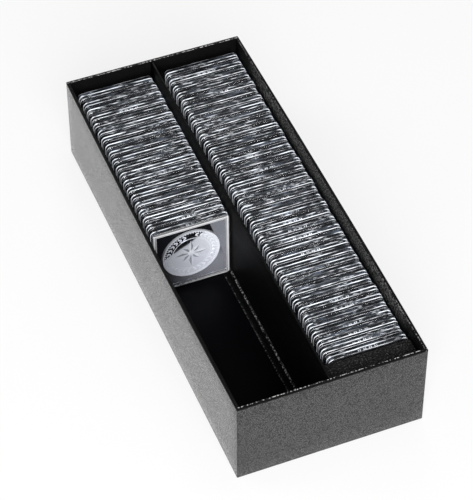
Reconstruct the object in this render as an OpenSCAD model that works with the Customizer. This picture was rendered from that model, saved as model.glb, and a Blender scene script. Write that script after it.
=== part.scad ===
// Coin display case: a paper-wrapped board tray with two long bays, a divider,
// a foam spacer and two rows of clear square coin capsules standing on edge.
// Each capsule holds a coin in a black insert. Millimetres. The origin is the
// middle of the underside, +Y runs along the rows to the back, +X to the right
// and +Z up.

/* [Tray] */
// Outside length along the rows
box_l = 288; // [260:1:330]
// Width of the left bay beyond the width of a capsule
left_bay_slack = 4.5; // [2:0.5:10]
// Width of the right bay beyond the width of a capsule
right_bay_slack = 7; // [2:0.5:10]
// Height of the rim over the tops of the capsules
rim_over = 9.05; // [2:0.05:20]
// Thickness of the greyboard walls
wall_board_t = 1.6; // [1.2:0.1:2]
// Thickness of the greyboard base
base_board_t = 1.6; // [1.2:0.1:2.4]
// Thickness of the wrapping and lining papers
paper_t = 0.2; // [0.1:0.05:0.3]
// How far the outer paper is turned in below the rim
rim_turn_in = 12; // [6:1:20]
// How far the outer paper is turned in under the base
base_turn_in = 14; // [8:1:20]
// Margin between the sheet under the base and the outside of the tray
base_sheet_margin = 2.5; // [1:0.5:5]

/* [Divider] */
// Thickness of the board inside the divider
divider_board_t = 1.1; // [0.8:0.1:1.6]
// How far the divider's top edge lies below the rim
divider_drop = 0.4; // [0:0.1:4]
// Width of the divider's glued feet on the floor
divider_foot_w = 5.5; // [3:0.5:8]

/* [Capsule] */
// Width and height of a closed capsule
capsule_w = 50; // [46:0.5:60]
// Thickness of a closed capsule
capsule_t = 6.35; // [6.1:0.05:6.8]
// Radius of a capsule's corners
capsule_corner_r = 3; // [2:0.5:5]
// Width of the raised border round each face
border_w = 2.3; // [1.5:0.1:3]
// Height of the raised border over the face
border_h = 0.5; // [0.3:0.05:0.7]
// Width of the groove round the edge where the halves meet
seam_groove_w = 0.5; // [0.3:0.1:1]
// Depth of the groove round the edge
seam_groove_d = 0.4; // [0.2:0.1:0.8]
// Width of the side walls round the pocket inside
pocket_wall = 2.8; // [2.4:0.1:3.4]
// Radius of the corners of the pocket and of the face inside its border
inner_corner_r = 1.5; // [1:0.1:2]
// Thickness of the collar that plugs into the lid
collar_w = 0.8; // [0.5:0.1:1]
// Height of the collar over the seam
collar_h = 0.6; // [0.3:0.1:1]
// Clearance between the collar and the lid's seat
collar_gap = 0.15; // [0.1:0.05:0.3]
// Gap between the closed halves at the seam
seam_gap = 0.05; // [0.02:0.01:0.1]

/* [Insert] */
// Thickness of the black insert that centres the coin
insert_t = 2.8; // [2:0.1:3]
// Clearance round the insert in the pocket
insert_gap = 0.15; // [0.1:0.05:0.3]

/* [Coin] */
// Diameter of a coin
coin_d = 38; // [30:0.5:39]
// Thickness of a coin at its rim
coin_t = 3; // [2:0.1:3.2]
// Width of a coin's raised rim
coin_rim_w = 1; // [0.6:0.1:2]
// Height of a coin's rim over its field
coin_rim_h = 0.2; // [0.1:0.05:0.4]
// Clearance round a coin in the insert
coin_gap = 0.3; // [0.1:0.05:0.5]
// Clearance over and under a coin in the pocket
coin_face_gap = 0.1; // [0.05:0.05:0.2]

/* [Rows] */
// Gap between neighbouring capsules in the right row
right_gap = 0.43; // [0.3:0.01:0.6]
// Gap between neighbouring capsules in the left row
left_gap = 0.41; // [0.25:0.01:0.6]
// Upright capsules in the left row
left_count = 19; // [9:1:28]
// Gap between the left row and the back wall
left_back_gap = 2.2; // [0.5:0.1:4]
// Least gap between the right row and the back wall
right_back_gap = 1.2; // [0.5:0.1:4]
// Gap between the left row and the divider
left_side_gap = 0.8; // [0.25:0.05:1]
// Gap between the right row and the right wall
right_side_gap = 0.8; // [0.3:0.05:2]
// Gap under the capsules and the foam
stand_gap = 0.05; // [0.02:0.01:0.2]
// Angle at which the front capsule leans back
front_lean = 1; // [1:0.1:6]
// Gap between the front capsule's top edge and the row behind it
lean_gap = 0.15; // [0.1:0.05:0.4]

/* [Foam] */
// Thickness of the foam spacer along the bay
foam_t = 17.3; // [8:0.1:24]
// How far the top of the foam spacer lies below the tops of the capsules
foam_drop = 0.4; // [0:0.1:20]
// Clearance round the foam spacer
foam_gap = 0.25; // [0.2:0.05:0.6]

/* [Hidden] */
$fn = 64;

// Overshoot of a cut past the face that it opens
cut = 1;
// Batches of capsules that are lifted out together
left_batches = 3;
right_batches = 6;

// Levels: the floor's papers and boards, then the divider's foot, carry the capsules
board_z = 2 * paper_t;
base_top_z = board_z + base_board_t;
floor_z = base_top_z + paper_t;
foot_top_z = floor_z + paper_t;
stand_z = foot_top_z + stand_gap;
box_h = stand_z + capsule_w + rim_over;
lining_top_z = box_h - rim_turn_in;
divider_top_z = box_h - divider_drop;

// Widths: the walls and the divider are board between two papers
wall_t = wall_board_t + 2 * paper_t;
divider_t = divider_board_t + 2 * paper_t;
left_bay_w = capsule_w + left_bay_slack;
right_bay_w = capsule_w + right_bay_slack;
inner_w = left_bay_w + divider_t + right_bay_w;
box_w = inner_w + 2 * wall_t;
inner_l = box_l - 2 * wall_t;
board_w = box_w - 2 * paper_t;
board_l = box_l - 2 * paper_t;
divider_x = -inner_w / 2 + left_bay_w;

// Capsule: two halves that meet at the seam, round a pocket for the insert
half_t = (capsule_t - seam_gap) / 2;
shoulder_t = (capsule_t - seam_groove_w) / 2;
pocket_w = capsule_w - 2 * pocket_wall;
pocket_depth = (coin_t - seam_gap) / 2 + coin_face_gap;

// Rows
left_x = divider_x - left_side_gap - capsule_w / 2;
right_x = inner_w / 2 - right_side_gap - capsule_w / 2;
left_pitch = capsule_t + left_gap;
right_pitch = capsule_t + right_gap;
left_row_l = left_count * left_pitch - left_gap;
left_y = inner_l / 2 - left_back_gap - left_row_l;
foam_y = -inner_l / 2 + foam_gap;
foam_h = capsule_w - foam_drop;
right_y = foam_y + foam_t + foam_gap;
right_space = inner_l / 2 - right_back_gap - right_y;
right_count = floor((right_space + right_gap) / right_pitch);

// The front capsule leans on the first upright one and stands on its rear edge
front_y = left_y - lean_gap - capsule_w * sin(front_lean);

paper = "#2b2b2c";
satin = "#17181b";
greyboard = "#8c8a84";
foam = "#3b3b3d";
clear = [0.82, 0.85, 0.9, 0.45];
insert_black = "#101013";
silver = "#d9dadd";

// Block that stands on the height z0, centred over the origin
module block(w, l, z0, z1) {
    translate([-w / 2, -l / 2, z0])
        cube([w, l, z1 - z0]);
}

// Upright ring between two rectangles
module ring(outer_w, outer_l, w, l, z0, z1) {
    difference() {
        block(outer_w, outer_l, z0, z1);
        block(w, l, z0 - cut, z1 + cut);
    }
}

module rounded_square(w, r) {
    square([w, w - 2 * r], center = true);
    square([w - 2 * r, w], center = true);
    for (x = [-1, 1], y = [-1, 1])
        translate([x * (w / 2 - r), y * (w / 2 - r)])
            circle(r = r);
}

module base_sheet() {
    color(satin) {
        block(box_w - 2 * base_sheet_margin, box_l - 2 * base_sheet_margin, 0, paper_t);
        block(box_w - 2 * base_turn_in, box_l - 2 * base_turn_in, 0, board_z);
    }
}

module base_board() {
    color(greyboard)
        block(board_w - 2 * wall_board_t, board_l - 2 * wall_board_t, board_z, base_top_z);
}

// Long wall, side -1 for the left and 1 for the right
module side_board(side) {
    color(greyboard)
        translate([side * (board_w - wall_board_t) / 2, 0, 0])
            block(wall_board_t, board_l, board_z, box_h - paper_t);
}

// Short wall between the long ones, side -1 for the front and 1 for the back
module end_board(side) {
    color(greyboard)
        translate([0, side * (board_l - wall_board_t) / 2, 0])
            block(board_w - 2 * wall_board_t, wall_board_t, board_z, box_h - paper_t);
}

// One paper over the outside, the rim, the top of the inside and the base's edge
module outer_wrap() {
    color(paper) {
        ring(box_w, box_l, board_w, board_l, paper_t, box_h);
        ring(box_w, box_l, inner_w, inner_l, box_h - paper_t, box_h);
        ring(inner_w + 2 * paper_t, inner_l + 2 * paper_t, inner_w, inner_l,
             lining_top_z, box_h);
        ring(box_w, box_l, box_w - 2 * base_turn_in, box_l - 2 * base_turn_in,
             paper_t, board_z);
    }
}

module side_lining(side) {
    color(satin)
        translate([side * (inner_w + paper_t) / 2, 0, 0])
            block(paper_t, inner_l + 2 * paper_t, base_top_z, lining_top_z);
}

module end_lining(side) {
    color(satin)
        translate([0, side * (inner_l + paper_t) / 2, 0])
            block(inner_w, paper_t, base_top_z, lining_top_z);
}

module floor_liner() {
    color(satin)
        block(inner_w, inner_l, base_top_z, floor_z);
}

module divider_board() {
    color(greyboard)
        translate([divider_x + divider_t / 2, 0, 0])
            block(divider_board_t, inner_l, floor_z, divider_top_z - paper_t);
}

// One paper folded over the divider, with a foot along each side
module divider_wrap() {
    color(paper)
        translate([divider_x + divider_t / 2, 0, 0])
            difference() {
                union() {
                    block(divider_t, inner_l, floor_z, divider_top_z);
                    block(divider_t + 2 * divider_foot_w, inner_l, floor_z, foot_top_z);
                }
                block(divider_board_t, inner_l + cut, floor_z - cut, divider_top_z - paper_t);
            }
}

module foam_block() {
    bay_x = divider_x + divider_t + foam_gap;
    color(foam)
        translate([bay_x, foam_y, stand_z])
            cube([inner_w / 2 - foam_gap - bay_x, foam_t, foam_h]);
}

// Outline of one half, lying on its outer face, with the step of the seam groove
module half_outline() {
    linear_extrude(shoulder_t)
        rounded_square(capsule_w, capsule_corner_r);
    linear_extrude(half_t)
        rounded_square(capsule_w - 2 * seam_groove_d, capsule_corner_r - seam_groove_d);
}

// Sunk field inside the raised border
module field_cut() {
    translate([0, 0, -cut])
        linear_extrude(cut + border_h)
            rounded_square(capsule_w - 2 * border_w, inner_corner_r);
}

// Square opening in the inner face of a half, this much wider than the pocket
module inner_cut(extra_w, depth) {
    translate([0, 0, half_t - depth])
        linear_extrude(depth + collar_h + cut)
            rounded_square(pocket_w + extra_w, inner_corner_r + extra_w / 2);
}

// Rear half, lying on its outer face: a square collar rises round the pocket
module base_half() {
    difference() {
        union() {
            half_outline();
            linear_extrude(half_t + collar_h)
                rounded_square(pocket_w + 2 * collar_w, inner_corner_r + collar_w);
        }
        field_cut();
        inner_cut(0, pocket_depth);
    }
}

// Front half, lying on its outer face: a seat takes the other half's collar
module lid_half() {
    difference() {
        half_outline();
        field_cut();
        inner_cut(0, pocket_depth);
        inner_cut(2 * (collar_w + collar_gap), collar_h + collar_gap);
    }
}

// Square black insert with a round hole for the coin
module insert() {
    translate([0, 0, -insert_t / 2])
        linear_extrude(insert_t)
            difference() {
                rounded_square(pocket_w - 2 * insert_gap, inner_corner_r);
                circle(r = coin_d / 2 + coin_gap);
            }
}

// Coin lying on its back, with a raised rim on both faces
module coin() {
    field_half_t = coin_t / 2 - coin_rim_h;
    rotate_extrude()
        polygon([
            [0, -field_half_t], [coin_d / 2 - coin_rim_w, -field_half_t],
            [coin_d / 2 - coin_rim_w, -coin_t / 2], [coin_d / 2, -coin_t / 2],
            [coin_d / 2, coin_t / 2], [coin_d / 2 - coin_rim_w, coin_t / 2],
            [coin_d / 2 - coin_rim_w, field_half_t], [0, field_half_t]
        ]);
}

// Stands a lying piece on edge: its back face at y = 0, its lower edge at z = 0
module on_edge() {
    translate([0, 0, capsule_w / 2])
        rotate([90, 0, 0])
            children();
}

module standing_base() {
    on_edge()
        base_half();
}

module standing_lid() {
    on_edge()
        translate([0, 0, capsule_t])
            mirror([0, 0, 1])
                lid_half();
}

module standing_insert() {
    on_edge()
        translate([0, 0, capsule_t / 2])
            insert();
}

module standing_coin() {
    on_edge()
        translate([0, 0, capsule_t / 2])
            coin();
}

// Copies along a row, from the first to the last capsule of one batch
module batch(x, y, pitch, count, batches, number) {
    first = floor((number - 1) * count / batches);
    last = floor(number * count / batches) - 1;
    for (i = [first : last])
        translate([x, y + capsule_t + i * pitch, stand_z])
            children();
}

module left_batch(number) {
    batch(left_x, left_y, left_pitch, left_count, left_batches, number)
        children();
}

module right_batch(number) {
    batch(right_x, right_y, right_pitch, right_count, right_batches, number)
        children();
}

// The front capsule's place, turned back about its rear lower edge
module leaning() {
    translate([left_x, front_y, stand_z])
        rotate([-front_lean, 0, 0])
            children();
}

module front_capsule_base() {
    color(clear)
        leaning()
            standing_base();
}

module front_capsule_lid() {
    color(clear)
        leaning()
            standing_lid();
}

module front_insert() {
    color(insert_black)
        leaning()
            standing_insert();
}

module front_coin() {
    color(silver)
        leaning()
            standing_coin();
}

module left_bases(number) {
    color(clear)
        left_batch(number)
            standing_base();
}

module left_lids(number) {
    color(clear)
        left_batch(number)
            standing_lid();
}

module left_inserts(number) {
    color(insert_black)
        left_batch(number)
            standing_insert();
}

module left_coins(number) {
    color(silver)
        left_batch(number)
            standing_coin();
}

module right_bases(number) {
    color(clear)
        right_batch(number)
            standing_base();
}

module right_lids(number) {
    color(clear)
        right_batch(number)
            standing_lid();
}

module right_inserts(number) {
    color(insert_black)
        right_batch(number)
            standing_insert();
}

module right_coins(number) {
    color(silver)
        right_batch(number)
            standing_coin();
}

base_sheet();
base_board();
side_board(-1);  // left_board
side_board(1);  // right_board
end_board(-1);  // front_board
end_board(1);  // back_board
outer_wrap();
side_lining(-1);  // left_lining
side_lining(1);  // right_lining
end_lining(-1);  // front_lining
end_lining(1);  // back_lining
floor_liner();
divider_board();
divider_wrap();
foam_block();
front_capsule_base();
front_capsule_lid();
front_insert();
front_coin();
for (i = [1 : left_batches]) {
    left_bases(i);
    left_lids(i);
    left_inserts(i);
    left_coins(i);
}
for (i = [1 : right_batches]) {
    right_bases(i);
    right_lids(i);
    right_inserts(i);
    right_coins(i);
}
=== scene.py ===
import math
import random

import bmesh
import bpy
from mathutils import Matrix, Vector, noise


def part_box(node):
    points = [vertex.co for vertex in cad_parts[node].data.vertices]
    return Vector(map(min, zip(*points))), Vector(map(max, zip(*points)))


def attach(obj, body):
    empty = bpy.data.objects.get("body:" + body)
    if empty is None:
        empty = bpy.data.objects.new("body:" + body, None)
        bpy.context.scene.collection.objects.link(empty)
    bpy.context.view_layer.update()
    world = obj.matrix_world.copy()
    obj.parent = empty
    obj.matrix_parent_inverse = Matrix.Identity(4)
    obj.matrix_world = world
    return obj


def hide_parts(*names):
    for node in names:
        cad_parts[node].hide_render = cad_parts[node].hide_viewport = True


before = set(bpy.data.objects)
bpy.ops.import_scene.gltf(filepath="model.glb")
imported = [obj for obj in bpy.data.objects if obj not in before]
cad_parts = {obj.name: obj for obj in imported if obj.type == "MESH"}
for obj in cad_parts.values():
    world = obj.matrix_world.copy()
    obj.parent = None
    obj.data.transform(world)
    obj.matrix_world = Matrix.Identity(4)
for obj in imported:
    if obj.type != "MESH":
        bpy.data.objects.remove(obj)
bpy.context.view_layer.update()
seed = 4173
random.seed(seed)
noise.seed_set(seed)  # noise vectors differ from run to run without it
mm = 0.001  # pieces are shaped in millimetres and brought to metres at the end
print("frame loaded,", len(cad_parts), "nodes")


class Signal:
    # a node's output that can be used in sums
    def __init__(self, finish, socket):
        self.finish, self.socket = finish, socket

    def __add__(self, other):
        return self.finish.maths("ADD", self, other)

    def __radd__(self, other):
        return self.finish.maths("ADD", other, self)

    def __sub__(self, other):
        return self.finish.maths("SUBTRACT", self, other)

    def __rsub__(self, other):
        return self.finish.maths("SUBTRACT", other, self)

    def __mul__(self, other):
        return self.finish.maths("MULTIPLY", self, other)

    def __rmul__(self, other):
        return self.finish.maths("MULTIPLY", other, self)

    def __abs__(self):
        return self.finish.maths("ABSOLUTE", self)


class Finish:
    # a material and its nodes; places and depths in it are metres
    def __init__(self, name):
        self.material = bpy.data.materials.new(name)
        self.material.use_nodes = True
        self.tree = self.material.node_tree
        self.tree.nodes.clear()
        self.place = self.node("ShaderNodeTexCoord", output="Object")

    def node(self, kind, settings=None, inputs=(), output=0):
        made = self.tree.nodes.new(kind)
        for key, value in (settings or {}).items():
            setattr(made, key, value)
        pairs = inputs.items() if isinstance(inputs, dict) else enumerate(inputs)
        for key, value in pairs:
            socket = made.inputs[key]
            if isinstance(value, Signal):
                self.tree.links.new(value.socket, socket)
            elif socket.type == "RGBA":
                socket.default_value = (*value, 1)
            else:
                socket.default_value = value
        return None if output is None else Signal(self, made.outputs[output])

    def maths(self, operation, *values):
        return self.node("ShaderNodeMath", {"operation": operation}, values)

    def axes(self):
        split = self.node("ShaderNodeSeparateXYZ", None, [self.place])
        return [Signal(self, socket) for socket in split.socket.node.outputs]

    def stretched(self, scale, turn=(0, 0, 0)):
        return self.node("ShaderNodeMapping", None,
                         {"Vector": self.place, "Scale": scale, "Rotation": turn})

    def cloud(self, scale, detail=2, where=None):
        return self.node("ShaderNodeTexNoise", None,
                         {"Vector": where or self.place, "Scale": scale, "Detail": detail}, "Fac")

    def cells(self, scale, feature="F1", where=None):
        return self.node("ShaderNodeTexVoronoi", {"feature": feature},
                         {"Vector": where or self.place, "Scale": scale}, "Distance")

    def step(self, value, low, high):
        # 0 below low, 1 above high, smooth between them
        return self.node("ShaderNodeMapRange", {"clamp": True, "interpolation_type": "SMOOTHSTEP"},
                         {0: value, 1: low, 2: high, 3: 0, 4: 1})

    def near(self, value, centre, reach):
        # 1 where value is close to centre, falling to 0 at reach
        return 1 - self.step(abs(value - centre), reach * 0.6, reach)

    def mixed(self, mask, low, high):
        return self.node("ShaderNodeMix", {"data_type": "RGBA"}, {0: mask, 6: low, 7: high}, 2)

    def bump(self, height, strength, distance):
        return self.node("ShaderNodeBump", None,
                         {"Height": height, "Strength": strength, "Distance": distance})

    def skin(self, **inputs):
        names = {"colour": "Base Color", "rough": "Roughness", "metal": "Metallic",
                 "shine": "Specular IOR Level", "normal": "Normal",
                 "coat": "Coat Weight", "coatRough": "Coat Roughness"}
        return self.node("ShaderNodeBsdfPrincipled", None,
                         {names[key]: value for key, value in inputs.items()})

    def over(self, mask, below, above):
        return self.node("ShaderNodeMixShader", None, {0: mask, 1: below, 2: above})

    def done(self, shader):
        self.node("ShaderNodeOutputMaterial", None, {"Surface": shader}, None)
        return self.material


grainedPaper = {
    "valley": (0.002, 0.002, 0.0021), "hill": (0.022, 0.022, 0.0225), "paleDotColour": (0.5, 0.5, 0.49),
    "pebble": 1000, "folds": 420, "fine": 2200, "patches": 14, "dots": 1100,
    "driftScale": 600.0, "drift": 0.0004, "deep": 0.00015,
    "rough": 0.1, "roughMore": 0.12, "coat": 1.0, "coatRough": 0.06,
    "rimRough": 0.6, "rimShine": 0.08, "rimFrom": (0.0603, 0.0609),
    "outX": (0.0579, 0.0582), "outY": (0.1428, 0.1432),
    "highlightX": 0.0571, "highlightY": 0.1425, "highlightReach": 0.0004, "highlightLong": 0.3}


def makeGrainedPaper():
    # embossed leather grain on the outer walls; the rim and the inner faces are painted darker as
    # painted shade, and the rim's inner edge gets pale dots of painted highlight
    g, f = grainedPaper, Finish("grainedPaper")
    x, y, z = f.axes()
    shake = f.node("ShaderNodeTexNoise", None, {"Vector": f.place, "Scale": g["driftScale"]}, "Color")
    drift = f.node("ShaderNodeVectorMath", {"operation": "MULTIPLY_ADD"},
                   [shake, (g["drift"],) * 3, f.place])
    seams = f.step(f.cells(g["pebble"], "DISTANCE_TO_EDGE", drift), 0.02, 0.34)
    fine = f.cloud(g["fine"])
    height = seams * 0.9 + f.cloud(g["folds"]) * 0.25 + fine * 0.3
    tone = f.step(seams * 0.75 + fine * 0.3 + f.cloud(g["patches"]) * 0.1, 0.36, 0.72)
    normal = f.bump(height, 1.0, g["deep"])
    wall = f.skin(colour=f.mixed(tone, g["valley"], g["hill"]), normal=normal,
                  rough=g["rough"] + g["roughMore"] * (1 - tone),
                  coat=g["coat"] * tone, coatRough=g["coatRough"])
    # painted highlight: pale dots along the inner edge of the rim, strong on the short walls
    short = f.near(abs(y), g["highlightY"], g["highlightReach"])
    long = f.near(x, g["highlightX"], g["highlightReach"]) * g["highlightLong"]
    paintedHighlightDots = f.maths("MAXIMUM", short, long) * f.step(f.cloud(g["dots"]), 0.5, 0.6)
    rim = f.skin(colour=f.mixed(paintedHighlightDots, g["valley"], g["paleDotColour"]), rough=g["rimRough"],
                 shine=g["rimShine"], normal=normal)
    # the outer walls below the rim keep the grain; the rim and the inner faces take the darker skin, as
    # painted shade
    outside = f.maths("MAXIMUM", f.step(abs(x), *g["outX"]), f.step(abs(y), *g["outY"]))
    return f.done(f.over(outside * (1 - f.step(z, *g["rimFrom"])), rim, wall))


liningPaper = {"dark": (0.001, 0.001, 0.0012), "pale": (0.006, 0.006, 0.0066), "fibre": 900,
               "patches": 40, "rough": 0.5, "roughMore": 0.2, "shine": 0.07, "deep": 0.00006}


def makeLiningPaper():
    # plain black paper with faint fibres
    p, f = liningPaper, Finish("liningPaper")
    fibre = f.cloud(p["fibre"], 4, f.stretched((1, 1, 2.5)))
    colour = f.mixed(fibre * 0.6 + f.cloud(p["patches"]) * 0.4, p["dark"], p["pale"])
    return f.done(f.skin(colour=colour, rough=p["rough"] + p["roughMore"] * fibre,
                         shine=p["shine"], normal=f.bump(fibre, 0.35, p["deep"])))


floorPaper = {"dark": (0.0006, 0.0006, 0.001), "pale": (0.0018, 0.0018, 0.0028), "smear": 30,
              "fine": 1500, "rough": 0.22, "roughMore": 0.2, "shine": 0.05, "deep": 0.00005}


def makeFloorPaper():
    # smooth black sheet with a cool, soft shine
    p, f = floorPaper, Finish("floorPaper")
    smear = f.cloud(p["smear"], 3, f.stretched((1, 0.3, 1)))
    normal = f.bump(f.cloud(p["fine"]) + smear * 0.5, 0.1, p["deep"])
    return f.done(f.skin(colour=f.mixed(smear, p["dark"], p["pale"]), normal=normal,
                         rough=p["rough"] + p["roughMore"] * smear, shine=p["shine"]))


dividerPaper = {
    "dark": (0.0006, 0.0006, 0.0007), "pale": (0.009, 0.009, 0.0095), "paleDotColour": (0.3, 0.3, 0.3),
    "pin": 1500, "speck": 1300, "dots": 1000, "rough": 0.42, "roughMore": 0.2, "shine": 0.05,
    "deep": 0.00012, "middle": -0.00125, "fold": (0.0011, 0.0008), "footEdge": (0.0060, 0.0006),
    "edgePale": 0.35, "paleTop": (0.003, 0.004)}


def makeDividerPaper():
    # fine pin grain
    p, f = dividerPaper, Finish("dividerPaper")
    x, y, z = f.axes()
    pin = f.cells(p["pin"], "SMOOTH_F1")
    speck = f.step(f.cloud(p["speck"], 3), 0.52, 0.7)
    colour = f.mixed(speck * 0.6 + pin * 0.2, p["dark"], p["pale"])
    # pale dots along the folds and edges of the glued feet
    aside = abs(x - p["middle"])
    paleDotMask = f.near(aside, *p["fold"]) + f.near(aside, *p["footEdge"]) * p["edgePale"]
    paleDotMask = paleDotMask * (1 - f.step(z, *p["paleTop"])) * f.step(f.cloud(p["dots"]), 0.5, 0.62)
    return f.done(f.skin(colour=f.mixed(paleDotMask, colour, p["paleDotColour"]), shine=p["shine"],
                         rough=p["rough"] + p["roughMore"] * pin,
                         normal=f.bump(pin + speck * 0.4, 0.5, p["deep"])))


greyboard = {"dark": (0.25, 0.235, 0.21), "pale": (0.4, 0.38, 0.34), "fleck": (0.14, 0.13, 0.12),
             "fibre": 500, "flecks": 1100, "rough": 0.9, "deep": 0.0001}


def makeGreyboard():
    # raw board with fibres and dark flecks
    p, f = greyboard, Finish("greyboard")
    fibre = f.cloud(p["fibre"], 5, f.stretched((1, 1, 3)))
    fleck = f.step(f.cloud(p["flecks"]), 0.62, 0.75)
    colour = f.mixed(fleck * 0.5, f.mixed(fibre, p["dark"], p["pale"]), p["fleck"])
    return f.done(f.skin(colour=colour, rough=p["rough"], normal=f.bump(fibre, 0.4, p["deep"])))


foamCells = {"pit": (0.0008, 0.0008, 0.0009), "strut": (0.012, 0.012, 0.012),
             "speck": (0.07, 0.07, 0.068), "pits": 820, "smallPits": 1700, "specks": 1000,
             "rough": 0.95, "shine": 0.1, "deep": 0.0005}


def makeFoam():
    # open cells: pits painted dark as painted shade, between paler struts
    p, f = foamCells, Finish("foamCells")
    pits, small = f.cells(p["pits"]), f.cells(p["smallPits"])
    strut = f.step(pits * 0.7 + small * 0.45, 0.3, 0.62)
    speck = f.step(f.cloud(p["specks"]), 0.54, 0.66)
    colour = f.mixed(speck * 0.7, f.mixed(strut, p["pit"], p["strut"]), p["speck"])
    return f.done(f.skin(colour=colour, rough=p["rough"], shine=p["shine"],
                         normal=f.bump(strut + small * 0.5, 0.9, p["deep"])))


# glow is the colour of the painted highlights and of the pale painted reflections; depth is the bluish
# painted reflection
clearPlastic = {
    "pass": (0.972, 0.98, 0.99), "scuffed": (0.62, 0.66, 0.74), "glow": (0.9, 0.93, 0.985),
    "depth": (0.3, 0.37, 0.5), "mirror": 0.04, "rough": 0.06, "edgeRough": 0.15,
    "ripple": 170, "rippleDeep": 0.0004, "faceFilm": 0.8, "wallFilm": 0.35,
    "leftRow": -0.0278, "rightRow": 0.0307, "highlightCurls": (0.0205, 0.0232)}


def clearFilm(f, mirror, rough=clearPlastic["rough"]):
    # what clear plastic does at one face: most goes through, the rest is mirrored
    p = clearPlastic
    through = f.node("ShaderNodeBsdfTransparent", None, {"Color": p["pass"]})
    ripple = f.bump(f.cloud(p["ripple"]), 0.12, p["rippleDeep"])
    gloss = f.node("ShaderNodeBsdfAnisotropic", {"distribution": "GGX"},
                   {"Color": (1, 1, 1), "Roughness": rough, "Normal": ripple})
    slant = f.node("ShaderNodeLayerWeight", None, {"Blend": 0.5}, "Facing")
    share = p["mirror"] + (1 - p["mirror"]) * f.maths("POWER", slant, 5.0)
    return f.over(share * mirror, through, gloss)


def makeClearPlastic():
    # moulded faces, with a faint scuff here and there
    p, f = clearPlastic, Finish("clearPlastic")
    scuff = f.step(f.cloud(260, 4, f.stretched((0.35, 1, 1))), 0.58, 0.8) * 0.03
    hazeAndPaintedLight = f.skin(colour=p["scuffed"], rough=0.35)
    return f.done(f.over(scuff + 0.002, clearFilm(f, p["faceFilm"]), hazeAndPaintedLight))


def makePaintedEdgeHighlight():
    # painted highlights on the rounded edges: streaks along the plastic, and bright curls at the
    # corners
    p, f = clearPlastic, Finish("plasticEdgePaintedHighlight")
    x, y, z = f.axes()
    fromMiddle = f.maths("MINIMUM", abs(x - p["leftRow"]), abs(x - p["rightRow"]))
    streak = f.cloud(1.0, 2, f.stretched((120, 700, 500)))
    broad = f.cloud(1.0, 1, f.stretched((22, 230, 60)))
    glow = f.step(streak * 0.6 + broad * 0.5, 0.48, 0.68)
    most = f.maths("MAXIMUM", glow, f.step(fromMiddle, *p["highlightCurls"]))
    paintedHighlight = f.skin(colour=p["glow"], rough=0.22, shine=0.8)
    return f.done(f.over(0.05 + 0.9 * most, clearFilm(f, p["faceFilm"], p["edgeRough"]), paintedHighlight))


def makePaintedReflectionWall():
    # the edge walls between the painted highlight lines: clear, with painted reflections in fine lines,
    # patches and dashes
    p, f = clearPlastic, Finish("plasticWallPaintedReflections")
    fine = f.cloud(1.0, 2, f.stretched((60, 1900, 900)))
    patch = f.cloud(1.0, 3, f.stretched((90, 420, 300)))
    slant = f.cloud(1.0, 2, f.stretched((320, 1050, 200), (0, 0, 0.6)))
    lines = f.step(fine, 0.54, 0.68)
    bits = f.step(patch, 0.52, 0.74)
    dashes = f.step(slant, 0.53, 0.64) * f.step(f.cloud(60, 1), 0.42, 0.56)
    pale = f.skin(colour=f.mixed(dashes, p["depth"], p["glow"]), rough=0.3, shine=0.7)
    mask = 0.006 + 0.07 * lines + 0.26 * bits + 0.3 * dashes
    return f.done(f.over(mask, clearFilm(f, p["wallFilm"]), pale))


insertBlack = {"dark": (0.0015, 0.0015, 0.0022), "pale": (0.005, 0.005, 0.007), "soft": 700,
               "rough": 0.5, "roughMore": 0.15, "shine": 0.12, "deep": 0.00004}


def makeInsertBlack():
    # satin moulded plastic
    p, f = insertBlack, Finish("insertBlack")
    soft = f.cloud(p["soft"], 3)
    return f.done(f.skin(colour=f.mixed(soft, p["dark"], p["pale"]), shine=p["shine"],
                         rough=p["rough"] + p["roughMore"] * soft,
                         normal=f.bump(soft, 0.2, p["deep"])))


silver = {
    "colour": (0.95, 0.95, 0.975), "darker": 0.86, "sparkle": 3800, "bloom": 180, "deep": 0.00003,
    "mirrorDark": (0.5, 0.5, 0.54), "mirrorPale": (0.84, 0.84, 0.87),
    "paintedShadeDark": (0.42, 0.42, 0.46), "paintedLightPale": (0.97, 0.97, 0.985),
    "shadeDark": (0.16, 0.16, 0.18), "shadePale": (0.42, 0.42, 0.45),
    "middle": (-0.0278, 0.0275), "dullFrom": (-0.009, -0.006), "lightFrom": (-0.052, -0.006)}


def lightAcross(f, x, z, wander=0.0):
    # painted light and shade: low at the front coin's upper left, rising to its lower right
    return f.step(x * 0.85 - z * 0.2 + wander, *silver["lightFrom"])


def makeFrostedSilver():
    # matt struck metal, a white bloom with a fine sparkle
    p, f = silver, Finish("frostedSilver")
    fine, broad = f.cloud(p["sparkle"]), f.cloud(p["bloom"])
    darker = tuple(c * p["darker"] for c in p["colour"])
    return f.done(f.skin(colour=f.mixed(fine * 0.6 + broad * 0.4, darker, p["colour"]), metal=0.3,
                         rough=0.42 + 0.1 * fine, normal=f.bump(fine, 0.4, p["deep"])))


def makePolishedSilver():
    # mirror ground, dulled by handling towards the lower right, where painted light lifts its colour
    # from mirrorDark towards mirrorPale
    p, f = silver, Finish("polishedSilver")
    x, y, z = f.axes()
    middleX, middleZ = p["middle"]
    aside = (x - middleX) * 0.6 - (z - middleZ) + f.cloud(90) * 0.003
    dullAndPaintedLight = f.step(aside, *p["dullFrom"])
    colour = f.mixed(dullAndPaintedLight * lightAcross(f, x, z), p["mirrorDark"], p["mirrorPale"])
    return f.done(f.skin(colour=colour, metal=1 - 0.75 * dullAndPaintedLight, rough=0.1 + 0.35 * dullAndPaintedLight,
                         normal=f.bump(f.cloud(p["sparkle"]), 0.05, p["deep"])))


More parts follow.
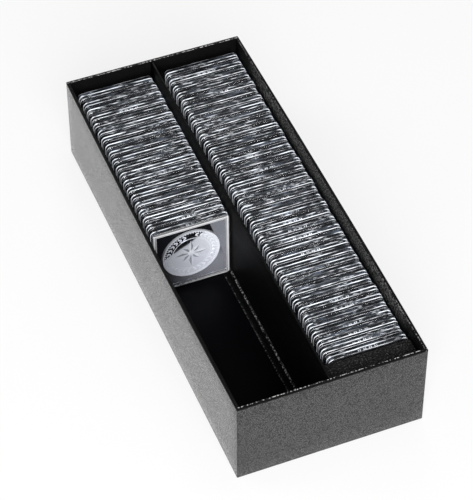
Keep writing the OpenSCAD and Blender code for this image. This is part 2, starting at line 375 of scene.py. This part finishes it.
def makePaintedShadeSilver():
    # the front coin's frost, darkened grey to the left by painted shade
    p, f = silver, Finish("paintedShadeSilver")
    x, y, z = f.axes()
    fine, broad = f.cloud(p["sparkle"]), f.cloud(p["bloom"])
    light = lightAcross(f, x, z, broad * 0.004)
    tone = f.mixed(light * (0.9 + 0.2 * fine), p["paintedShadeDark"], p["paintedLightPale"])
    return f.done(f.skin(colour=tone, metal=0.15, rough=0.4 + 0.1 * fine,
                         normal=f.bump(fine, 0.4, p["deep"])))


def makeShadedSilver():
    # facets and hollows of the front coin's relief, painted a step darker than the frost as painted
    # shade
    p, f = silver, Finish("shadedSilver")
    x, y, z = f.axes()
    light = lightAcross(f, x, z) * (0.85 + 0.3 * f.cloud(1500))
    return f.done(f.skin(colour=f.mixed(light, p["shadeDark"], p["shadePale"]), metal=0.3,
                         rough=0.35 + 0.15 * light))


border = {"paintedHighlight": (0.95, 0.95, 0.975), "middle": (-0.0278, 0.02745), "half": 0.025,
          "line": (0.0013, 0.0006), "secondLine": (0.0024, 0.0004), "paintedShadeCorner": (-0.0528, 0.0024),
          "glowFrom": (0.006, 0.046), "film": 0.5}


def makeBorderPaintedLight():
    # painted light: the raised border is painted bright round the face in two lines, with painted shade
    # that makes it least bright at its lower left corner
    p, f = border, Finish("borderPaintedLight")
    x, y, z = f.axes()
    middleX, middleZ = p["middle"]
    cornerX, cornerZ = p["paintedShadeCorner"]
    inward = p["half"] - f.maths("MAXIMUM", abs(x - middleX), abs(z - middleZ))
    line = f.near(inward, *p["line"]) + f.near(inward, *p["secondLine"]) * 0.5
    fromShadeCorner = (x - cornerX) + (z - cornerZ) * 0.9
    glow = f.step(fromShadeCorner, *p["glowFrom"]) * (0.82 + 0.16 * f.cloud(160))
    paintedHighlight = f.skin(colour=p["paintedHighlight"], rough=0.25, shine=0.8)
    return f.done(f.over(0.02 + glow * (0.13 + 0.6 * line), clearFilm(f, p["film"]), paintedHighlight))


hazeAndPaintedLight = {"dullAndPaintedLight": (0.76, 0.78, 0.9), "rough": 0.5, "cut": (-0.0156, 0.049), "paintedLightEdgeSlope": 0.3,
        "paintedLightEdgeFrom": (-0.0003, 0.0005), "paintedLightRiseFrom": (-0.055, -0.01), "litFootFrom": (-0.034, -0.016),
        "litFootSide": (-0.05, -0.012), "foot": 0.26, "film": 0.3}


def makePaintedLightFace():
    # the lid's window: clear at the upper left, with a pale patch of painted light over the right and
    # along the foot
    p, f = hazeAndPaintedLight, Finish("paintedLightFace")
    x, y, z = f.axes()
    paintedLightEdgeX, paintedLightEdgeZ = p["cut"]
    paintedLightEdgeLine = (x - paintedLightEdgeX) + (z - paintedLightEdgeZ) * p["paintedLightEdgeSlope"]
    # film and foot are the masks of the painted light: a pale patch right of a straight edge, and a
    # pale band along the foot
    film = f.step(paintedLightEdgeLine, *p["paintedLightEdgeFrom"]) * (0.2 + 0.07 * f.step(x * 0.5 - z, *p["paintedLightRiseFrom"]))
    foot = f.step(z * -1, *p["litFootFrom"]) * f.step(x, *p["litFootSide"]) * p["foot"]
    mask = f.maths("MAXIMUM", film, foot) * (0.95 + 0.1 * f.cloud(120, 3))
    return f.done(f.over(mask, clearFilm(f, p["film"]), f.skin(colour=p["dullAndPaintedLight"], rough=p["rough"])))


finishes = {
    "grainedPaper": makeGrainedPaper(), "liningPaper": makeLiningPaper(),
    "floorPaper": makeFloorPaper(), "dividerPaper": makeDividerPaper(),
    "greyboard": makeGreyboard(), "foam": makeFoam(), "clear": makeClearPlastic(),
    "edge": makePaintedEdgeHighlight(), "wall": makePaintedReflectionWall(), "insert": makeInsertBlack(),
    "frosted": makeFrostedSilver(), "mirror": makePolishedSilver(), "border": makeBorderPaintedLight(),
    "paintedLightPatch": makePaintedLightFace(), "paintedShadeFrost": makePaintedShadeSilver(), "shaded": makeShadedSilver(),
}
print("finishes made")


def raiseFace(bm, face, height):
    # pulls a flat face out (or pushes it in) along z, with walls behind it
    made = bmesh.ops.extrude_face_region(bm, geom=[face, *face.edges])["geom"]
    cap = next(g for g in made if isinstance(g, bmesh.types.BMFace))
    bmesh.ops.translate(bm, vec=(0, 0, height), verts=cap.verts)
    return cap


def insetFace(bm, face, width):
    # the face, smaller, and the ring of faces round it
    ring = bmesh.ops.inset_region(bm, faces=[face], thickness=width, use_even_offset=True)["faces"]
    return face, ring


def roundEdges(bm, edges, radius, segments=2):
    return bmesh.ops.bevel(bm, geom=edges, offset=radius, segments=segments, profile=0.5,
                           affect="EDGES", material=-1)["faces"]


def edgesOf(verts):
    return list({e for v in verts for e in v.link_edges})


def facesOf(verts):
    return {face for v in verts for face in v.link_faces}


def lowestFace(bm):
    return min(bm.faces, key=lambda face: (round(face.calc_center_median().z, 4), -face.calc_area()))


def highestFace(bm):
    return max(bm.faces, key=lambda face: (round(face.calc_center_median().z, 4), face.calc_area()))


def roundedSquare(bm, width, radius, segments):
    # one flat face at z 0, facing up
    bmesh.ops.create_grid(bm, x_segments=1, y_segments=1, size=width / 2)
    bmesh.ops.bevel(bm, geom=bm.verts[:], offset=radius, segments=segments, profile=0.5,
                    affect="VERTICES", material=-1)
    return bm.faces[:][0]


def makeBlock(low, high):
    # a block between two corners
    bm = bmesh.new()
    bmesh.ops.create_cube(bm, size=1)
    bmesh.ops.scale(bm, vec=high - low, verts=bm.verts)
    bmesh.ops.translate(bm, vec=(low + high) / 2, verts=bm.verts)
    return bm


def cutAcross(bm, spot, direction):
    # new edges where the plane meets the mesh, which stays whole
    bmesh.ops.bisect_plane(bm, geom=bm.verts[:] + bm.edges[:] + bm.faces[:],
                           plane_co=spot, plane_no=direction)


def extrudeLine(bm, edges):
    # a strip of faces behind a line of edges: its new vertices and edges
    made = bmesh.ops.extrude_edge_only(bm, edges=edges)["geom"]
    verts = [g for g in made if isinstance(g, bmesh.types.BMVert)]
    fresh = set(verts)
    return verts, [g for g in made if isinstance(g, bmesh.types.BMEdge) and set(g.verts) <= fresh]


def turnOutward(bm):
    # the topmost face looks up, and the others follow it
    bmesh.ops.recalc_face_normals(bm, faces=bm.faces)
    top = max(bm.faces, key=lambda face: face.calc_center_median().z)
    if top.normal.z < 0:
        bmesh.ops.reverse_faces(bm, faces=bm.faces)


def gather(shapes, places):
    # one mesh with a shape at each place
    whole = bmesh.new()
    for shape, place in zip(shapes, places):
        first = len(whole.verts)
        whole.from_mesh(shape)
        bmesh.ops.transform(whole, matrix=place, verts=whole.verts[:][first:])
    return whole


def asShape(bm):
    bmesh.ops.recalc_face_normals(bm, faces=bm.faces)
    mesh = bpy.data.meshes.new("shape")
    bm.to_mesh(mesh)
    bm.free()
    return mesh


def piece(name, bm, body, looks, stands=(), crease=32):
    # the finished object: metres, smooth within the crease angle, riding on its body
    bmesh.ops.scale(bm, vec=(mm, mm, mm), verts=bm.verts)
    mesh = bpy.data.meshes.new(name)
    bm.to_mesh(mesh)
    bm.free()
    for look in looks:
        mesh.materials.append(finishes[look])
    mesh.polygons.foreach_set("use_smooth", [True] * len(mesh.polygons))
    mesh.set_sharp_from_angle(angle=math.radians(crease))
    made = bpy.data.objects.new(name, mesh)
    bpy.context.scene.collection.objects.link(made)
    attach(made, body)
    if stands:
        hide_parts(*stands)
    return made


def thicken(made, thickness):
    # paper: the shape is its visible side, the sheet lies behind it
    sheet = made.modifiers.new("sheet", "SOLIDIFY")
    sheet.thickness, sheet.offset = thickness * mm, -1
    return made


tray = {"width": 117, "length": 288, "height": 61.5, "wall": 2.0, "rimRound": 0.45,
        "cornerRound": 0.6, "paper": 0.2, "turnIn": 12, "underTurn": 14, "bowLeft": 1.0,
        "bowRight": 0.8, "bowFrom": 50, "cuts": 24, "crossCuts": 10, "wallSteps": 5, "boardRound": 0.15,
        "crease": 50}


def bowOut(bm):
    # the long walls belly out a little towards the middle of the rim
    for v in bm.verts:
        if abs(v.co.x) > tray["bowFrom"]:
            share = (1 - (v.co.y / (tray["length"] / 2)) ** 2) * v.co.z / tray["height"]
            bow = tray["bowLeft"] if v.co.x < 0 else -tray["bowRight"]
            v.co.x -= bow * share


def makeTrayWrap():
    # the outer paper: its section is swept round the tray, from under the base over the rim
    t = tray
    halfW, halfL = t["width"] / 2, t["length"] / 2
    r, wall, top, low = t["rimRound"], t["wall"], t["height"], t["paper"]
    # the two middle points of each rounding lie s and c off its sides
    s = r * (1 - math.cos(math.pi / 6))
    c = r * (1 - math.sin(math.pi / 6))
    # each point: how far inside the tray's outline, and how high
    profile = [(t["underTurn"], low), (r, low), (c, low + s), (s, low + c), (0, low + r)]
    profile += [(0, low + r + (top - low - 2 * r) * k / t["wallSteps"])
                for k in range(1, t["wallSteps"] + 1)]
    profile += [(s, top - c), (c, top - s), (r, top), (wall / 2, top), (wall - r, top),
                (wall - c, top - s), (wall - s, top - c), (wall, top - r),
                (wall, top - t["turnIn"] / 2), (wall, top - t["turnIn"])]
    bm = bmesh.new()
    bmesh.ops.create_grid(bm, x_segments=1, y_segments=1, size=1)
    bmesh.ops.scale(bm, vec=(halfW, halfL, 1), verts=bm.verts)
    bmesh.ops.bevel(bm, geom=bm.verts[:], offset=t["cornerRound"], segments=3, profile=0.5,
                    affect="VERTICES", material=-1)
    bmesh.ops.delete(bm, geom=bm.faces[:], context="FACES_ONLY")
    for length, cuts in ((halfL, t["cuts"]), (halfW, t["crossCuts"])):
        long = [e for e in bm.edges if e.calc_length() > length]
        bmesh.ops.subdivide_edges(bm, edges=long, cuts=cuts)
    inset, z = profile[0]
    bmesh.ops.transform(bm, verts=bm.verts, matrix=Matrix.Translation((0, 0, z)) @ Matrix.Diagonal(
        ((halfW - inset) / halfW, (halfL - inset) / halfL, 1, 1)))
    loop = bm.edges[:]
    for nextInset, nextZ in profile[1:]:
        verts, loop = extrudeLine(bm, loop)
        bmesh.ops.scale(bm, verts=verts, vec=((halfW - nextInset) / (halfW - inset),
                                              (halfL - nextInset) / (halfL - inset), 1))
        bmesh.ops.translate(bm, verts=verts, vec=(0, 0, nextZ - z))
        inset, z = nextInset, nextZ
    bowOut(bm)
    turnOutward(bm)
    wrap = piece("trayWrap", bm, "tray", ["grainedPaper"], ["outer_wrap"], t["crease"])
    return thicken(wrap, t["paper"])


tabs = {"width": 3.4, "thick": 0.22, "shorter": 0.9, "fromSide": 1.75, "fromEnd": 0.1, "drop": 0.35,
        "edge": 0.06}


def makeCornerTabs():
    # the wrap's ends folded round the inner corners, glued onto the short walls
    bm = bmesh.new()
    x, y = tray["width"] / 2 - tray["wall"], tray["length"] / 2 - tray["wall"]
    z = tray["height"] - tray["turnIn"] / 2 - tabs["drop"]
    for sx in (-1, 1):
        for sy in (-1, 1):
            made = bmesh.ops.create_cube(bm, size=1)["verts"]
            bmesh.ops.scale(bm, verts=made,
                            vec=(tabs["width"], tabs["thick"], tray["turnIn"] - tabs["shorter"]))
            bmesh.ops.translate(bm, verts=made,
                                vec=(sx * (x - tabs["fromSide"]), sy * (y - tabs["fromEnd"]), z))
            roundEdges(bm, edgesOf(made), tabs["edge"], 1)
    return piece("cornerTabs", bm, "tray", ["grainedPaper"])


def makeBowedPanel(node, name, look):
    # a long wall's board or lining, with the wall's own bow
    low, high = (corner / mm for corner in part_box(node))
    bm = makeBlock(low, high)
    if look == "greyboard":
        roundEdges(bm, bm.edges[:], tray["boardRound"])
    step = (high.y - low.y) / tray["cuts"]
    for k in range(1, tray["cuts"]):
        cutAcross(bm, (0, low.y + k * step, 0), (0, 1, 0))
    bowOut(bm)
    return piece(name, bm, "tray", [look], [node])


makeTrayWrap()
makeCornerTabs()
for side in ("left", "right"):
    makeBowedPanel(f"{side}_board", f"{side}WallBoard", "greyboard")
    makeBowedPanel(f"{side}_lining", f"{side}WallLining", "liningPaper")
print("tray wrapped")


divider = {"middle": -1.25, "half": 0.75, "foot": 5.5, "floor": 2.4, "top": 61.1, "fillet": 0.55,
           "fold": 0.4, "bends": (22, 42), "end": 142.0, "steps": 36, "ragged": 0.22,
           "raggedScale": 0.09, "crease": 50}


def makeDividerWrap():
    # one sheet folded over the board, with a glued foot on each side
    d = divider
    turn = [k * math.pi / 6 for k in range(4)]
    half = [(d["half"] + d["foot"], d["floor"]), (d["half"] + d["foot"] / 2, d["floor"])]
    half += [(d["half"] + d["fillet"] * (1 - math.sin(a)), d["floor"] + d["fillet"] * (1 - math.cos(a)))
             for a in turn]
    half += [(d["half"], bend) for bend in d["bends"]]
    half += [(d["half"] - d["fold"] * (1 - math.cos(a)), d["top"] - d["fold"] * (1 - math.sin(a)))
             for a in turn]
    line = [(-x, z) for x, z in half] + [(x, z) for x, z in reversed(half)]
    bm = bmesh.new()
    points = [bm.verts.new((d["middle"] + x, -d["end"], z)) for x, z in line]
    edges = [bm.edges.new(pair) for pair in zip(points, points[1:])]
    for _ in range(d["steps"]):
        verts, edges = extrudeLine(bm, edges)
        bmesh.ops.translate(bm, verts=verts, vec=(0, 2 * d["end"] / d["steps"], 0))
    for v in bm.verts:
        if abs(v.co.x - d["middle"]) > d["half"] + d["foot"] - 0.1:
            spot = Vector((v.co.x, v.co.y * d["raggedScale"], 3.0))
            v.co.x += d["ragged"] * noise.noise(spot)
    turnOutward(bm)
    wrap = piece("dividerWrap", bm, "tray", ["dividerPaper"], ["divider_wrap"],
                 d["crease"])
    return thicken(wrap, tray["paper"])


makeDividerWrap()
print("divider wrapped")


foam = {"cell": 2.4, "round": 0.7, "rough": 0.16, "lumps": (0.7, 0.09), "crease": 60}


def makeFoamSpacer():
    # a block cut into small cells, whose faces are a little uneven
    low, high = (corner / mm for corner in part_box("foam_block"))
    bm = makeBlock(low, high)
    roundEdges(bm, bm.edges[:], foam["round"])
    for axis in range(3):
        count = int((high[axis] - low[axis]) / foam["cell"])
        direction = Vector([1.0 if k == axis else 0.0 for k in range(3)])
        for k in range(1, count):
            spot = direction * (low[axis] + (high[axis] - low[axis]) * k / count)
            cutAcross(bm, spot, direction)
    for v in bm.verts:
        for scale in foam["lumps"]:
            v.co += noise.noise_vector(v.co * scale) * foam["rough"]
    made = piece("foamSpacer", bm, "foam_spacer", ["foam"], ["foam_block"], foam["crease"])
    return made


makeFoamSpacer()
print("foam cut")


capsule = {"width": 50, "thick": 6.35, "corner": 3.0, "border": 2.7, "borderUp": 0.5,
           "groove": 0.4, "shoulder": 2.925, "half": 3.15, "pocketHalf": 22.2, "pocketFloor": 1.575,
           "collar": 0.8, "collarUp": 0.6, "seat": 0.15, "lidRound": 1.0, "baseRound": 0.7,
           "seamRound": 0.18}
ribs = {"size": (0.5, 0.5, 1.3), "each": 5, "pitch": 1.15, "sunk": 0.08, "up": 0.1}


def paint(faces, index):
    for face in faces:
        face.material_index = index


def addRibs(bm, up):
    # fine grip ribs across the top edge
    for k in range(-ribs["each"], ribs["each"] + 1):
        made = bmesh.ops.create_cube(bm, size=1)["verts"]
        bmesh.ops.scale(bm, vec=ribs["size"], verts=made)
        bmesh.ops.translate(bm, verts=made,
                            vec=(k * ribs["pitch"], up * (capsule["width"] / 2 - ribs["sunk"]),
                                 capsule["shoulder"] / 2 + ribs["up"]))
        # ribs mostly take the edge look, the painted highlight; every third takes the wall look
        paint(facesOf(made), 1 if k % 3 else 2)


def makeHalf(isLid, cornerSteps, edgeSteps, ribbed, showsFace=False):
    # one half lying on its outer face: looks are 0 clear, 1 edge, 2 wall, 3 border, 4 field
    c = capsule
    edgeRound = c["lidRound"] if isLid else c["baseRound"]
    bm = bmesh.new()
    face = roundedSquare(bm, c["width"], c["corner"], cornerSteps)
    raiseFace(bm, face, c["shoulder"])
    paint(bm.faces, 2)
    bottom = lowestFace(bm)
    bottom.material_index = 0
    rounded = roundEdges(bm, bottom.edges[:], edgeRound, edgeSteps)
    paint(rounded, 3 if showsFace else 1)
    if not showsFace:
        # the rounding carries the painted highlight on its upper part only, so a dark line parts two
        # capsules
        paint([face for face in rounded if face.normal.z < -0.5], 0)
    top = highestFace(bm)
    # the base's seam rounding and ledge carry the painted highlight; the lid's stay clear
    paint(roundEdges(bm, top.edges[:], c["seamRound"], 1), 0 if isLid else 1)
    top = highestFace(bm)
    top.material_index = 0
    top, ledge = insetFace(bm, top, c["groove"] - c["seamRound"])
    paint(ledge, 0 if isLid else 1)
    top = raiseFace(bm, top, c["half"] - c["shoulder"])
    reach = c["width"] / 2 - c["groove"]
    if isLid:
        # a seat for the collar, then the pocket
        seatHalf = c["pocketHalf"] + c["collar"] + c["seat"]
        top, _ = insetFace(bm, top, reach - seatHalf)
        top = raiseFace(bm, top, -(c["collarUp"] + c["seat"]))
        top, _ = insetFace(bm, top, seatHalf - c["pocketHalf"])
        top = raiseFace(bm, top, c["pocketFloor"] - c["half"] + c["collarUp"] + c["seat"])
    else:
        # a collar round the pocket
        collarHalf = c["pocketHalf"] + c["collar"]
        top, _ = insetFace(bm, top, reach - collarHalf)
        top = raiseFace(bm, top, c["collarUp"])
        top, _ = insetFace(bm, top, c["collar"])
        top = raiseFace(bm, top, c["pocketFloor"] - c["half"] - c["collarUp"])
    top.material_index = 0
    bottom, rim = insetFace(bm, lowestFace(bm), c["border"] - edgeRound)
    paint(rim, 3)
    before = set(bm.faces)
    field = raiseFace(bm, bottom, c["borderUp"])
    paint(set(bm.faces) - before, 3)
    field.material_index = 4
    if ribbed:
        addRibs(bm, -1 if isLid else 1)
    return bm


insert = {"half": 1.4, "gap": 0.3, "corner": 1.2, "hole": 19.3}


def makeInsertShape(segments):
    # square frame with a round hole for the coin, lying about z 0
    bm = bmesh.new()
    roundedSquare(bm, 2 * capsule["pocketHalf"] - insert["gap"], insert["corner"], 3)
    bmesh.ops.delete(bm, geom=bm.faces[:], context="FACES_ONLY")
    square = bm.edges[:]
    hole = bmesh.ops.create_circle(bm, cap_ends=False, segments=segments, radius=insert["hole"])
    bmesh.ops.bridge_loops(bm, edges=square + edgesOf(hole["verts"]))
    bmesh.ops.translate(bm, vec=(0, 0, -insert["half"]), verts=bm.verts)
    made = bmesh.ops.extrude_face_region(bm, geom=bm.faces[:])["geom"]
    bmesh.ops.translate(bm, vec=(0, 0, 2 * insert["half"]),
                        verts=[g for g in made if isinstance(g, bmesh.types.BMVert)])
    bmesh.ops.recalc_face_normals(bm, faces=bm.faces)
    return bm


coin = {"radius": 18.6, "half": 1.5, "rim": 0.9, "rimUp": 0.42, "ringOut": 12.8, "ring": 0.55,
        "ringUp": 0.16, "fieldDown": 0.1, "longRay": 11.6, "shortRay": 8.4, "rayHalf": 1.7,
        "rayUp": 0.41, "boss": (2.3, 2.3, 0.4), "beads": 64, "beadAt": 16.95,
        "bead": (0.42, 0.42, 0.34), "leaves": 14, "leafFrom": -82, "leafStep": 12,
        "leaf": (1.35, 0.5, 0.34), "leafPair": ((0.45, 15.6), (-0.45, 14.1)), "leafUp": 0.03}


def makeCoinShape(segments, fine):
    # struck coin lying about z 0: looks are 0 frosted, 1 polished and 2 shaded
    bm = bmesh.new()
    bmesh.ops.create_circle(bm, cap_ends=True, segments=segments, radius=coin["radius"])
    bmesh.ops.translate(bm, vec=(0, 0, -coin["half"]), verts=bm.verts)
    raiseFace(bm, bm.faces[:][0], 2 * coin["half"])
    bmesh.ops.recalc_face_normals(bm, faces=bm.faces)
    for side in (1, -1):
        face = max(bm.faces, key=lambda f: f.calc_center_median().z * side)
        face, _ = insetFace(bm, face, coin["rim"])
        face = raiseFace(bm, face, -side * coin["rimUp"])
        face, polished = insetFace(bm, face, coin["radius"] - coin["rim"] - coin["ringOut"])
        paint(polished, 1)
        face = raiseFace(bm, face, side * coin["ringUp"])
        face, _ = insetFace(bm, face, coin["ring"])
        face = raiseFace(bm, face, -side * coin["fieldDown"])
        face.material_index = 1
        addRelief(bm, side, coin["half"] - coin["rimUp"], fine)
    bmesh.ops.recalc_face_normals(bm, faces=bm.faces)
    return bm


def addSpot(bm, where, size, turn, steps):
    # a rounded dot or leaf
    made = bmesh.ops.create_uvsphere(bm, u_segments=steps, v_segments=max(4, steps // 2), radius=1)
    bmesh.ops.transform(bm, verts=made["verts"],
                        matrix=Matrix.Translation(where) @ Matrix.Rotation(turn, 4, "Z")
                        @ Matrix.Diagonal((*size, 1)))


def addRay(bm, side, base, length, turn):
    # one ray of the star: a long rhombus with a ridge, like a faceted petal
    c = coin
    made = bmesh.ops.create_cone(bm, cap_ends=True, segments=4, radius1=1, radius2=0, depth=1)["verts"]
    bmesh.ops.transform(bm, verts=made, matrix=Matrix.Translation((0, 0, base))
                        @ Matrix.Rotation(turn, 4, "Z") @ Matrix.Translation((length / 2, 0, 0))
                        @ Matrix.Diagonal((length / 2, c["rayHalf"], side * c["rayUp"], 1))
                        @ Matrix.Translation((0, 0, 0.5)))
    # the facets on one side of each ray get painted shade
    across, middle = Vector((-math.sin(turn), math.cos(turn), 0)), Vector((0, 0, base))
    paint([face for face in facesOf(made)
           if (face.calc_center_median() - middle).dot(across) < -0.05], 2)


def addRelief(bm, side, field, fine):
    # a star in a ring of beads and leaves: plain ornament, no picture and no words
    c, z = coin, side * field
    for k in range(8):
        addRay(bm, side, z, c["shortRay"] if k % 2 else c["longRay"], k * math.pi / 4)
    addSpot(bm, (0, 0, z), c["boss"], 0, 16 if fine else 8)
    if not fine:
        return
    for k in range(c["beads"]):
        a = 2 * math.pi * k / c["beads"]
        addSpot(bm, (c["beadAt"] * math.cos(a), c["beadAt"] * math.sin(a), z), c["bead"], 0, 8)
    for branch in (1, -1):
        for k in range(c["leaves"]):
            a = math.radians(c["leafFrom"] + k * c["leafStep"])
            for lean, radius in c["leafPair"]:
                spot = (branch * radius * math.cos(a), radius * math.sin(a), z + side * c["leafUp"])
                turn = (a + math.pi / 2 + lean) if branch > 0 else (math.pi / 2 - a - lean)
                addSpot(bm, spot, c["leaf"], turn, 8)


rows = {"left": {"pitch": 6.76, "batches": 3, "slide": (-0.2, 0.55), "standX": -27.8},
        "right": {"pitch": 6.78, "batches": 6, "slide": (-0.7, 0.4), "standX": 30.7}}
upright = {"middle": 25.0, "tilt": 0.1, "shift": 0.04, "ribbed": 0.36}


def batchSpots(side, number):
    # where each capsule of a batch stands: its front face's foot, moved and tilted a hair
    lidLow, _ = (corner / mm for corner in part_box(f"{side}_lids_{number}"))
    _, baseHigh = (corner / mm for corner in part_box(f"{side}_bases_{number}"))
    row = rows[side]
    count = round((baseHigh.y - lidLow.y - capsule["thick"]) / row["pitch"]) + 1
    spots = []
    for k in range(count):
        shift = random.uniform(-upright["shift"], upright["shift"])
        x = row["standX"] + random.uniform(*row["slide"])
        tilt = Matrix.Rotation(math.radians(random.uniform(-upright["tilt"], upright["tilt"])), 4, "X")
        ribbed = random.random() < upright["ribbed"]
        place = Matrix.Translation((x, lidLow.y + k * row["pitch"] + shift, lidLow.z))
        spots.append((place @ tilt, ribbed))
    return spots


def standing(depth, faceFront):
    # turns a lying shape to stand at this depth behind the front face
    turn = Matrix.Rotation(math.radians(-90 if faceFront else 90), 4, "X")
    return Matrix.Translation((0, depth, upright["middle"])) @ turn


halfLooks = ["clear", "edge", "wall", "clear", "clear"]
plainLid = asShape(makeHalf(True, 5, 3, False))
ribbedLid = asShape(makeHalf(True, 5, 3, True))
plainBase = asShape(makeHalf(False, 5, 3, False))
rowInsert = asShape(makeInsertShape(32))
rowCoin = asShape(makeCoinShape(48, False))


def makeBatch(side, number):
    # the lids, bases, inserts and coins of one batch, a piece each
    body = f"{side}_batch_{number}"
    spots = batchSpots(side, number)
    thick = capsule["thick"]
    kinds = [
        ("Lids", "lids", [ribbedLid if ribbed else plainLid for _, ribbed in spots],
         standing(0, True), halfLooks, "clear_plastic"),
        ("Bases", "bases", [plainBase] * len(spots), standing(thick, False),
         halfLooks, "clear_plastic"),
        ("Inserts", "inserts", [rowInsert] * len(spots), standing(thick / 2, False),
         ["insert"], "insert_black"),
        ("Coins", "coins", [rowCoin] * len(spots), standing(thick / 2, False),
         ["frosted", "mirror", "mirror"], "silver"),
    ]
    for label, node, shapes, upTurn, looks, slot in kinds:
        bm = gather(shapes, [place @ upTurn for place, _ in spots])
        piece(f"{side}{label}{number}", bm, body, looks, [f"{side}_{node}_{number}"])


for side, row in rows.items():
    for number in range(1, row["batches"] + 1):
        makeBatch(side, number)
print("rows filled")


front = {"foot": (-27.8, 10.747, 2.45), "lean": 1.0, "insertDrop": 0.13, "coinDrop": 0.72,
         "coinAside": 0.35}


def frontPlace(depth, faceFront):
    # like standing, for the leaning capsule
    lean = Matrix.Rotation(math.radians(-front["lean"]), 4, "X")
    return Matrix.Translation(front["foot"]) @ lean @ standing(depth, faceFront)


def drop(height, aside=0):
    return Matrix.Translation((aside, 0, -height))


lidPlace = frontPlace(-capsule["thick"], True)
middle = frontPlace(-capsule["thick"] / 2, False)
coinPlace = drop(front["coinDrop"], front["coinAside"]) @ middle
piece("frontLid", gather([asShape(makeHalf(True, 10, 4, True, True))], [lidPlace]), "front_lid",
      ["clear", "edge", "wall", "border", "paintedLightPatch"], ["front_capsule_lid"])
piece("frontBase", gather([asShape(makeHalf(False, 10, 4, False))], [frontPlace(0, False)]),
      "front_capsule", halfLooks, ["front_capsule_base"])
piece("frontInsert", gather([asShape(makeInsertShape(128))], [drop(front["insertDrop"]) @ middle]),
      "front_capsule", ["insert"], ["front_insert"])
piece("frontCoin", gather([asShape(makeCoinShape(144, True))], [coinPlace]),
      "front_coin", ["paintedShadeFrost", "mirror", "shaded"], ["front_coin"])
print("front capsule made")


cadLooks = {"base_sheet": "liningPaper", "base_board": "greyboard", "front_board": "greyboard",
            "back_board": "greyboard", "front_lining": "liningPaper", "back_lining": "liningPaper",
            "floor_liner": "floorPaper", "divider_board": "greyboard"}
for node, look in cadLooks.items():
    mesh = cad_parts[node].data
    mesh.materials.clear()
    mesh.materials.append(finishes[look])
print("nodes dressed")


studio = {"lens": 166.49, "eye": (-0.3612, -0.8940, 1.0553), "heading": 21.97, "pitch": 46.89,
          "roll": -0.08, "air": 0.2}
studioFloor = {"size": 12.0, "tiles": 8, "matt": (0.6, 0.6, 0.6), "glow": 1.05, "glowShare": 0.73}
lamps = {  # where, aimed at, size, watts
    "topSoftbox": ((0.34, 0.05, 1.30), (0, 0, 0.03), 0.55, 3.0),
    "backStrip": ((0.55, 1.45, 0.55), (0, 0, 0.04), 0.5, 6.0),
    "leftSoftbox": ((-1.10, 0.75, 0.85), (0, 0, 0.03), 0.8, 7.0),
    "frontSoftbox": ((-0.35, -1.30, 0.85), (0, 0, 0.03), 1.0, 42.0),
}


def makeFloor():
    # white ground: to the camera it is mostly light, and the matt rest of it keeps the shadow
    p = studioFloor
    bm = bmesh.new()
    bmesh.ops.create_grid(bm, x_segments=p["tiles"], y_segments=p["tiles"], size=p["size"] / 2)
    mesh = bpy.data.meshes.new("studioFloor")
    bm.to_mesh(mesh)
    bm.free()
    floor = bpy.data.objects.new("studioFloor", mesh)
    bpy.context.scene.collection.objects.link(floor)
    f = Finish("studioWhite")
    seen = f.node("ShaderNodeLightPath", output="Is Camera Ray")
    paths = seen.socket.node.outputs
    asked = seen + Signal(f, paths["Is Glossy Ray"]) + Signal(f, paths["Is Transmission Ray"])
    white = f.node("ShaderNodeEmission", None, {"Color": (1, 1, 1), "Strength": p["glow"]})
    matt = f.skin(colour=p["matt"], rough=0.9, shine=0.1)
    f.done(f.over(asked * p["glowShare"], matt, white))
    mesh.materials.append(f.material)


def makeLamp(name, where, aim, size, watts):
    light = bpy.data.lights.new(name, "AREA")
    light.shape, light.size, light.energy = "SQUARE", size, watts
    lamp = bpy.data.objects.new(name, light)
    lamp.location = where
    lamp.rotation_euler = (Vector(aim) - Vector(where)).to_track_quat("-Z", "Y").to_euler()
    bpy.context.scene.collection.objects.link(lamp)


def makeCamera():
    heading, pitch = math.radians(studio["heading"]), math.radians(studio["pitch"])
    look = Vector((math.sin(heading) * math.cos(pitch), math.cos(heading) * math.cos(pitch),
                   -math.sin(pitch)))
    roll = Matrix.Rotation(math.radians(studio["roll"]), 3, "Z")
    turn = look.to_track_quat("-Z", "Y").to_matrix() @ roll
    data = bpy.data.cameras.new("camera")
    data.lens, data.sensor_width = studio["lens"], 36
    data.clip_start, data.clip_end = 0.05, 50
    camera = bpy.data.objects.new("camera", data)
    camera.location = studio["eye"]
    camera.rotation_euler = turn.to_euler()
    bpy.context.scene.collection.objects.link(camera)
    bpy.context.scene.camera = camera


def makeAir():
    world = bpy.data.worlds.new("studioAir")
    world.use_nodes = True
    background = world.node_tree.nodes["Background"].inputs
    background["Color"].default_value = (1, 1, 1, 1)
    background["Strength"].default_value = studio["air"]
    bpy.context.scene.world = world


makeFloor()
for name, (where, aim, size, watts) in lamps.items():
    makeLamp(name, where, aim, size, watts)
makeCamera()
makeAir()
bpy.context.scene.view_settings.view_transform = "Standard"
print("studio lit")
